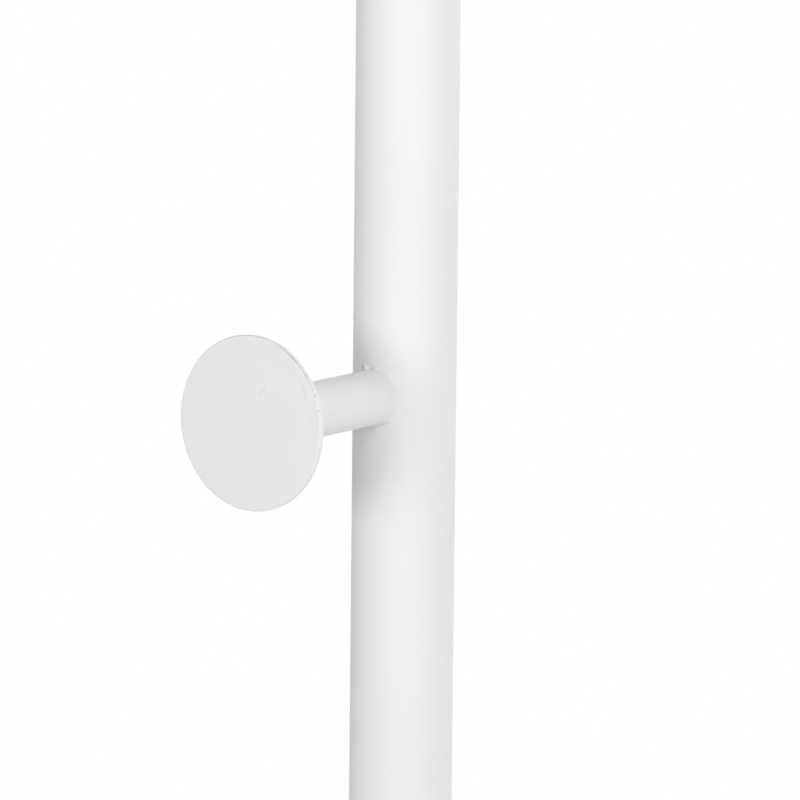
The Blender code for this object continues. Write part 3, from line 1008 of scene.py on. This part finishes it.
def add_pinhole(mesh, weld_seat, to_front, first, last, strength):
    """Gives the bead's points a darkening value inside a short arc, counted from the top towards the front: a
    painted pinhole, partly bare steel and partly shade.
    """
    darkening = mesh.attributes.new("edge_wear_and_shade", "FLOAT", "POINT")
    to_weld = weld_seat.inverted()
    centre = math.radians(first + last) / 2
    half = math.radians(last - first) / 2
    for vertex, value in zip(mesh.vertices, darkening.data):
        rise, across, _ = to_weld @ vertex.co
        turn = math.atan2(to_front * across, rise)
        value.value = strength * max(0.0, 1 - ((turn - centre) / half) ** PINHOLE_EDGE)


for side, level in pegs:
    node = f"{side}_{level}_peg_weld"
    matrix = peg_seat(side, level)
    to_front = SIDES[side]
    runs = WELD_RUNS[side, level]
    root = fillet_weld(lambda turn: weld_leg(runs, to_front * turn), saddle(post_radius), root_climb)
    bead = make_piece(node + "_bead", root, matrix, "frame", "white_coat", node)
    if (side, level) in PINHOLES:
        add_pinhole(bead.data, matrix, to_front, *PINHOLES[side, level])
    back = fillet_weld(lambda turn: DISC_LEG, disc_plane(side, level, disc_back), lambda turn: DISC_CLIMB)
    make_piece(f"{side}_{level}_peg_disc_weld_bead", back, matrix, "frame", "white_coat")
print("made", 2 * len(pegs), "weld beads, the discs' with legs of", DISC_LEG / MM, "mm")

# %% [markdown]
# Where the first peg's front run starts, the arc left a burr on the post, a low fin that is steep behind and
# slopes off in front, and lower down a drop of spatter on the weld. Both were coated over. A bump in the coat
# could hint at them, but it has no outline and throws no shadow, so they are small closed meshes that go a
# little way into the post. A thin tongue behind the fin is painted darker with the chips' grey: this is
# painted shade, standing for the shadow in the corner behind the fin.

# %% Burr and drop
SUNK = 0.2 * MM
BURR_PEG = ("left", "upper")
BURR_STEEP = 0.15 * MM
# A tongue of painted shade behind the fin, standing for its shadow on the post: its width, its lift and how
# dark it is painted.
SHADE_TONGUE = 1.5 * MM
SHADE_TONGUE_LIFT = 0.03 * MM
SHADE_TONGUE_DARKNESS = 0.55
BURR_TIP = (9.35 * MM, 3.7 * MM)
BURR_FOOT = (7.0 * MM, 2.0 * MM)
# Each section's height, its crest's place round the post, its lift and its slope's width, in millimetres.
BURR_SECTIONS = ((8.9, 3.65, 0.35, 1.8), (8.4, 3.2, 0.6, 2.0), (7.9, 2.8, 0.7, 1.8), (7.4, 2.35, 0.6, 1.5))
# How far down the slope a point is, and how high it still stands, as shares.
SLOPE_SHAPE = ((0.0, 1.0), (0.35, 0.6), (0.7, 0.2), (1.0, 0.0))
DROP_PLACE = (-6.6 * MM, -5.4 * MM)
DROP_LIFT = 0.5 * MM
# The drop's radius and height from its foot to its top, in millimetres.
DROP_SHAPE = ((0.42, 0.0), (0.36, 0.25), (0.24, 0.42), (0.1, 0.5))


def on_post(rise, around, lift=0.0):
    """A point in a peg's seat, by its height, its way round the post and its lift off the post."""
    turn = around / post_radius
    return (rise, (post_radius + lift) * math.sin(turn), (post_radius + lift) * math.cos(turn))


rings = [[on_post(*BURR_TIP, -SUNK)]]
for rise, crest, lift, slope in BURR_SECTIONS:
    behind = crest * MM + BURR_STEEP
    shade_tongue = [on_post(rise * MM, behind + SHADE_TONGUE, height) for height in (-SUNK, SHADE_TONGUE_LIFT)]
    shade_tongue.append(on_post(rise * MM, behind, SHADE_TONGUE_LIFT))
    ridge = [on_post(rise * MM, (crest - slope * down) * MM, lift * MM * up) for down, up in SLOPE_SHAPE]
    rings.append([*shade_tongue, *ridge, on_post(rise * MM, (crest - slope) * MM, -SUNK)])
rings.append([on_post(*BURR_FOOT, -SUNK)])
burr_seat = peg_seat(*BURR_PEG)
burr = make_piece("left_upper_peg_burr", loft(rings), burr_seat, "frame", "white_coat")
# The tongue's points get the value that paints shade behind the fin, and the fin itself gets none.
darkening = burr.data.attributes.new("edge_wear_and_shade", "FLOAT", "POINT")
for index, value in enumerate(darkening.data[1:-1]):
    value.value = SHADE_TONGUE_DARKNESS if index % len(rings[1]) < len(shade_tongue) else 0.0

rings = [ring(0, -DROP_LIFT - SUNK), ring(DROP_SHAPE[0][0] * MM, -DROP_LIFT - SUNK)]
rings += [ring(radius * MM, height * MM) for radius, height in DROP_SHAPE]
rings.append(ring(0, DROP_SHAPE[-1][1] * MM))
outwards = Vector(on_post(0, DROP_PLACE[1])).normalized()
drop_seat = burr_seat @ seat(on_post(*DROP_PLACE, DROP_LIFT), outwards, (1, 0, 0))
make_piece("left_upper_peg_drop", loft(rings), drop_seat, "frame", "white_coat")
print("a burr", round(max(lift for _, _, lift, _ in BURR_SECTIONS), 2), "mm high, and a drop of spatter")

# %% [markdown]
# ## The pegs: the discs
# The disc keeps things from sliding off. It is punched from sheet, so its rim is square with a small round
# on each edge, and on its front edge the coat is thin. Points on that edge get an edge_wear_and_shade value
# over arcs, and the coat's material turns it into chips and darkening. Mostly these are chips where the disc
# has been knocked, but on the first disc part of it is painted shade: a wide band and a weak long arc darken
# the rounded edge where its highlight would be. A wear map could be painted, but arcs of angles are easier
# to change.

# %% Wear on the discs' edges
DISC_ROUNDING = 0.45 * MM
WEAR_AND_SHADE_BAND = 0.3 * MM
EDGE_FROM_CORNER = 0.35
ARC_FADE = 0.5
# Each arc's first and last angle, from the rack's front upwards, in degrees, and its strength.
WEAR_AND_SHADE_ARCS = {
    # On the first disc the arcs from 12 to 84 and from -80 to 40 degrees are partly painted shade, which
    # darkens the rounded edge where its highlight would be.
    ("left", "upper"): ((12, 84, 0.72), (60, 165, 0.6), (-80, 40, 0.42), (23, 26, 0.7), (13, 16, 0.62)),
    ("left", "lower"): ((70, 105, 0.9), (40, 62, 0.7)),
    ("right", "upper"): ((25, 60, 0.9), (80, 120, 0.6)),
    ("right", "lower"): ((100, 135, 0.9), (50, 75, 0.7)),
}

disc_radius = size("left_upper_peg_disc").z / 2


def darkening_at(arcs, degrees):
    """The most that any arc darkens the edge at an angle, with chips and painted shade: its strength, fading
    towards both its ends.
    """
    darkening = 0.0
    for first, last, strength in arcs:
        share = max(0.0, min(1.0, (degrees - first) / (last - first)))
        darkening = max(darkening, strength * math.sin(math.pi * share) ** ARC_FADE)
    return darkening


def add_edge_wear_and_shade(mesh, disc_seat, to_front, arcs):
    """Gives the points near the front edge a value for chips and painted shade inside its arcs, counted up
    from the rack's front.
    """
    darkening = mesh.attributes.new("edge_wear_and_shade", "FLOAT", "POINT")
    to_disc = disc_seat.inverted()
    for vertex, value in zip(mesh.vertices, darkening.data):
        rise, across, reach = to_disc @ vertex.co
        from_corner = math.hypot(disc_radius - math.hypot(rise, across), disc_front - reach)
        from_edge = from_corner - DISC_ROUNDING * EDGE_FROM_CORNER
        band = math.exp(-((from_edge / WEAR_AND_SHADE_BAND) ** 2))
        value.value = band * darkening_at(arcs, math.degrees(math.atan2(rise, to_front * across)))


print("the discs have", [len(arcs) for arcs in WEAR_AND_SHADE_ARCS.values()], "arcs of wear")

# %% [markdown]
# Each disc has rubs of its own, so each gets a coat of its own, made by the coat's function with its list of
# rubs. The rubs are placed on the disc's front face. The plate is one outline turned round the peg's axis,
# with a ring just inside the edge that holds the chips and the painted shade close to it. A plate that leans
# does so with its stub's end.

# %% Peg discs
DISC_SIDES = 360
WEAR_LIMIT = 1.2 * MM
# Each rub's place to the back and up from the disc's middle, its length and its width in millimetres, its
# turn in radians and its strength.
RUBS = {
    ("left", "upper"): (
        (5.5, 16.2, 3.0, 0.5, 0.15, 0.4),
        (-4.0, 9.8, 6.0, 1.7, 0.85, 0.35),
        (-18.6, 11.7, 9.0, 1.6, -1.19, 0.4),
        (1.0, 21.0, 26.0, 7.0, 0.1, 0.13),
        (-12.6, 18.2, 22.0, 6.0, -0.61, 0.12),
        (-22.6, 2.0, 14.0, 5.0, 1.5, 0.1),
        (21.0, 6.0, 20.0, 6.0, 1.5, 0.08),
    ),
    ("left", "lower"): ((8.0, -6.0, 6.0, 1.8, 0.5, 0.35), (-3.0, 20.0, 24.0, 7.0, 0.0, 0.1)),
    ("right", "upper"): ((-6.0, 12.0, 5.0, 1.4, 2.2, 0.35), (4.0, 20.5, 22.0, 6.0, 0.1, 0.1)),
    ("right", "lower"): ((3.0, 15.0, 4.0, 1.5, 1.0, 0.35), (18.0, 9.0, 18.0, 6.0, 1.2, 0.1)),
}

for side, level in pegs:
    node = f"{side}_{level}_peg_disc"
    centre = middle(node)
    front_x = outermost(node, SIDES[side])
    rubs = [
        ((front_x, centre.y + y * MM, centre.z + z * MM), length * MM, width * MM, turn, strength)
        for y, z, length, width, turn, strength in RUBS[side, level]
    ]
    finish = white_coat(f"white_powder_coat_{side}_{level}_disc", rubs)
    shape = loft(
        turned(
            [
                (0, disc_back, 0),
                (disc_radius, disc_back, DISC_ROUNDING),
                (disc_radius, disc_front, DISC_ROUNDING),
                (disc_radius - WEAR_LIMIT, disc_front, 0),
                (0, disc_front, 0),
            ],
            DISC_SIDES,
        )
    )
    to_top, to_side = DISC_LEANS.get((side, level), STRAIGHT)
    normal = Vector((to_top, to_side, 1)).normalized()
    on_axis = Matrix.Translation((0, 0, disc_back))
    lean = on_axis @ Vector((0, 0, 1)).rotation_difference(normal).to_matrix().to_4x4() @ on_axis.inverted()
    disc_seat = peg_seat(side, level) @ lean
    disc = make_piece(node + "_plate", shape, disc_seat, "frame", "white_coat", node, finish=finish)
    add_edge_wear_and_shade(disc.data, disc_seat, SIDES[side], WEAR_AND_SHADE_ARCS[side, level])
print("made", len(pegs), "discs,", round(2 * disc_radius / MM, 1), "mm across")

# %% [markdown]
# ## The levelling glides
# Under each end of a foot, a threaded boss takes a stud, and the stud turns in a plastic pad. Screwed out,
# the stud shows up to eight millimetres of its thread, so the thread is real: the radius of each point
# follows the turn and the height together, which draws one continuous screw. A bump would give it away at
# the outline.

# %% Glide studs
STUD_SIDES = 72
COLLAR_WIDTH = 13 * MM
COLLAR_BOTTOM = 7.3 * MM
COLLAR_HEIGHT = 4 * MM
COLLAR_CHAMFER = 0.5 * MM
STEM_RADIUS = 3.2 * MM
THREAD_RADIUS = 4 * MM
THREAD_PITCH = 1.25 * MM
THREAD_DEPTH = 0.767 * MM
RINGS_A_TURN = 10
CREST_HALF = 1 / 16
ROOT_START = 3 / 8
TIP_RADIUS = STEM_RADIUS - THREAD_DEPTH
STUD_TRAVEL = 8 * MM


def thread_ring(height, tip):
    """One ring of the screw thread, narrowed near the stud's tip."""
    points = []
    for turn in turns(STUD_SIDES):
        from_crest = abs((height / THREAD_PITCH - turn / (2 * math.pi)) % 1 - 0.5)
        rise = min(1.0, max(0.0, (ROOT_START - from_crest) / (ROOT_START - CREST_HALF)))
        radius = min(THREAD_RADIUS - THREAD_DEPTH * (1 - rise), TIP_RADIUS + tip - height)
        points.append((radius * math.cos(turn), radius * math.sin(turn), height))
    return points


def glide_stud(bottom, tip):
    """A stem, a hexagon collar with its corners taken off, and a threaded stud."""
    top = COLLAR_BOTTOM + COLLAR_HEIGHT
    face = COLLAR_WIDTH / 2
    corner = face / math.cos(SIXTH_TURN / 2)
    rings = [
        ring(0, bottom),
        ring(STEM_RADIUS, bottom, STUD_SIDES),
        ring(STEM_RADIUS, COLLAR_BOTTOM, STUD_SIDES),
        ring(face - COLLAR_CHAMFER, COLLAR_BOTTOM, STUD_SIDES),
        hexagon(COLLAR_WIDTH, COLLAR_BOTTOM + COLLAR_CHAMFER / 2, STUD_SIDES, face),
        hexagon(COLLAR_WIDTH, COLLAR_BOTTOM + COLLAR_CHAMFER, STUD_SIDES, corner),
        hexagon(COLLAR_WIDTH, top - COLLAR_CHAMFER, STUD_SIDES, corner),
        hexagon(COLLAR_WIDTH, top - COLLAR_CHAMFER / 2, STUD_SIDES, face),
        ring(face - COLLAR_CHAMFER, top, STUD_SIDES),
    ]
    steps = round((tip - top) / THREAD_PITCH * RINGS_A_TURN)
    rings += [thread_ring(top + (tip - top) * step / steps, tip) for step in range(steps + 1)]
    rings.append(ring(0, tip))
    return loft(rings)


glides = [(side, end) for side in SIDES for end in ENDS]
for side, end in glides:
    node = f"{side}_{end}_glide_stud"
    low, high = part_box(node)
    shape = glide_stud(low.z, high.z)
    make_piece(node + "_screw", shape, upright(node, 0), f"{side}_{end}_stud", "zinc_steel", node)
print("made", len(glides), "studs with", round(STUD_TRAVEL / THREAD_PITCH, 1), "turns of travel")

# %% [markdown]
# The boss is a plain turned bush with a countersink that leads the stud in. The pad is a low cone with a
# rounded skirt, and its socket leaves the stud's stem room to turn.

# %% Glide bosses and pads
BOSS_BORE = 4.3 * MM
BOSS_CHAMFER = 0.5 * MM
BOSS_EDGE = 0.1 * MM
BOSS_TOP_EDGE = 0.2 * MM
PAD_SKIRT = 3.5 * MM
PAD_CROWN_RADIUS = 7 * MM
PAD_SOCKET_RADIUS = 3.5 * MM
PAD_FLOOR = 2.5 * MM
PAD_ROUNDING = 0.7 * MM


def glide_boss(radius, bottom, top):
    """A bush round the local Z axis."""
    return loft(
        turned(
            [
                (BOSS_BORE + BOSS_CHAMFER, bottom, BOSS_EDGE),
                (radius, bottom, BOSS_CHAMFER),
                (radius, top, BOSS_CHAMFER),
                (BOSS_BORE, top, BOSS_TOP_EDGE),
                (BOSS_BORE, bottom + BOSS_CHAMFER, BOSS_EDGE),
            ]
        ),
        joined=True,
    )


def glide_pad(radius, height):
    """A pad that stands at z = 0, with a socket in its crown."""
    return loft(
        turned(
            [
                (0, 0, 0),
                (radius, 0, PAD_ROUNDING),
                (radius, PAD_SKIRT, PAD_ROUNDING),
                (PAD_CROWN_RADIUS, height, PAD_ROUNDING),
                (PAD_SOCKET_RADIUS, height, EDGE_BREAK),
                (PAD_SOCKET_RADIUS, PAD_FLOOR, 0),
                (0, PAD_FLOOR, 0),
            ]
        )
    )


for side, end in glides:
    boss = f"{side}_{end}_glide_boss"
    pad = f"{side}_{end}_glide_pad"
    matrix = upright(pad, 0)
    low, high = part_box(boss)
    shape = glide_boss(boss_radius, low.z, high.z)
    make_piece(boss + "_bush", shape, matrix, "frame", "zinc_steel", boss)
    shape = glide_pad(size(pad).x / 2, size(pad).z)
    make_piece(pad + "_shoe", shape, matrix, f"{side}_{end}_pad", "grey_plastic", pad)
print("made", len(glides), "bosses and", len(glides), "pads")

# %% [markdown]
# ## The fasteners inside
# The threaded plugs and the post bolts with their washers sit inside the tubes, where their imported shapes
# are good enough. They only need the same finishes as the fasteners that show.

# %% Finishes of the inner nodes
inner_slots = {"_plug": "zinc_steel", "_foot_bolt": "nickel_steel", "_foot_washer": "white_plastic"}
inner = 0
for name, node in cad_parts.items():
    for ending, slot in inner_slots.items():
        if name.endswith(ending):
            node.data.materials.clear()
            node.data.materials.append(finishes[slot])
            inner += 1
print("gave finishes to", inner, "inner nodes")

# %% [markdown]
# ## Floor and light
# The picture is a bright studio shot: white all round, and no hard shadow but the soft one that the disc
# throws on the post behind it. The floor is a pale disc that takes the rack's shadow close by and goes over
# to plain white farther out. The white is only for rays that look at it straight or by reflection, so it
# adds no light to the rack.

# %% Floor
FLOOR_RADIUS = 4.0
FLOOR_SINK = 0.2 * MM
SHADOW_NEAR = 0.9
SHADOW_FAR = 2.2
FLOOR_PALE = (0.86, 0.86, 0.86, 1)
FLOOR_SPECKLE = (0.84, 0.84, 0.84, 1)
SPECKLE_SIZE = 2 * MM
SPECKLE_LEVELS = (0.3, 0.7)
LEVEL_PARTS = (1, 1, 0)
WHITE = (1, 1, 1, 1)


def seen_directly(tree):
    """1 for rays that show a background: straight from the camera, reflected or refracted."""
    path = put(tree, "LightPath").outputs
    shown = math_of(tree, "MAXIMUM", path["Is Camera Ray"], path["Is Glossy Ray"])
    return math_of(tree, "MAXIMUM", shown, path["Is Transmission Ray"])


def floor_finish():
    """Pale and matt near the rack, and plain white farther out."""
    material = bpy.data.materials.new("pale_floor")
    material.use_nodes = True
    tree = material.node_tree
    tree.nodes.clear()
    place = put(tree, "NewGeometry").outputs["Position"]
    flat_place = put(tree, "VectorMath", {0: place, 1: LEVEL_PARTS}, operation="MULTIPLY").outputs[0]
    far = put(tree, "VectorMath", {0: flat_place}, operation="LENGTH").outputs["Value"]
    speckle = spread(tree, noise(tree, place, SPECKLE_SIZE, detail=3.0), *SPECKLE_LEVELS)
    colour = tint(tree, speckle, FLOOR_PALE, FLOOR_SPECKLE)
    matt = put(tree, "BsdfDiffuse", {"Color": colour}).outputs[0]
    glow = put(tree, "Emission", {"Color": WHITE, "Strength": 1.0}).outputs[0]
    share = math_of(tree, "MULTIPLY", seen_directly(tree), spread(tree, far, SHADOW_NEAR, SHADOW_FAR))
    surface = put(tree, "MixShader", {0: share, 1: matt, 2: glow}).outputs[0]
    put(tree, "OutputMaterial", {"Surface": surface})
    return material


shape = loft([ring(0, -FLOOR_SINK), ring(FLOOR_RADIUS, -FLOOR_SINK)])
floor = bpy.data.objects.new("floor", bpy.data.meshes.new("floor"))
shape.to_mesh(floor.data)
shape.free()
floor.data.materials.append(floor_finish())
bpy.context.scene.collection.objects.link(floor)
print("the floor is", 2 * FLOOR_RADIUS, "m across")

# %% [markdown]
# Most of the light is an even dome. A softbox at the left, a little above the peg, shades the post with the
# disc, and its size sets how soft that shadow's edge is. A weak one farther back does the same for the post's
# left side. One in front and one at the right round the post off, and a low one lifts the underside of the
# stub, as a white table would.

# %% World and lamps
DOME_LIGHT = 0.485

scene = bpy.context.scene
scene.view_settings.view_transform = "Standard"
world = bpy.data.worlds.new("white_studio")
scene.world = world
world.use_nodes = True
tree = world.node_tree
tree.nodes.clear()
dome = put(tree, "Background", {"Color": WHITE, "Strength": DOME_LIGHT}).outputs[0]
backdrop = put(tree, "Background", {"Color": WHITE, "Strength": 1.0}).outputs[0]
surface = put(tree, "MixShader", {0: seen_directly(tree), 1: dome, 2: backdrop}).outputs[0]
put(tree, "OutputWorld", {"Surface": surface})


def softbox(name, azimuth, elevation, distance, width, height, watts):
    """An area lamp aimed at the peg, from an azimuth counted from the front: 0 in front, -90 at the left."""
    turn = math.radians(azimuth)
    rise = math.radians(elevation)
    back = Vector((math.sin(turn) * math.cos(rise), -math.cos(turn) * math.cos(rise), math.sin(rise)))
    lamp = bpy.data.lights.new(name, "AREA")
    lamp.shape = "RECTANGLE"
    lamp.size = width
    lamp.size_y = height
    lamp.energy = watts
    box = bpy.data.objects.new(name, lamp)
    box.location = peg_root + back * distance
    box.rotation_euler = back.to_track_quat("Z", "Y").to_euler()
    box.visible_camera = False
    scene.collection.objects.link(box)
    return box


lamps = [
    softbox("left_softbox", azimuth=-78, elevation=6, distance=1.6, width=0.4, height=0.3, watts=4.7),
    softbox("back_left_softbox", azimuth=-95, elevation=10, distance=1.6, width=0.3, height=0.3, watts=1.2),
    softbox("front_softbox", azimuth=-40, elevation=20, distance=1.0, width=0.6, height=0.6, watts=4.1),
    softbox("right_softbox", azimuth=75, elevation=18, distance=1.6, width=0.8, height=0.8, watts=8.0),
    softbox("low_softbox", azimuth=22, elevation=-60, distance=1.3, width=0.8, height=0.8, watts=3.5),
]
print("lamps:", [lamp.name for lamp in lamps])
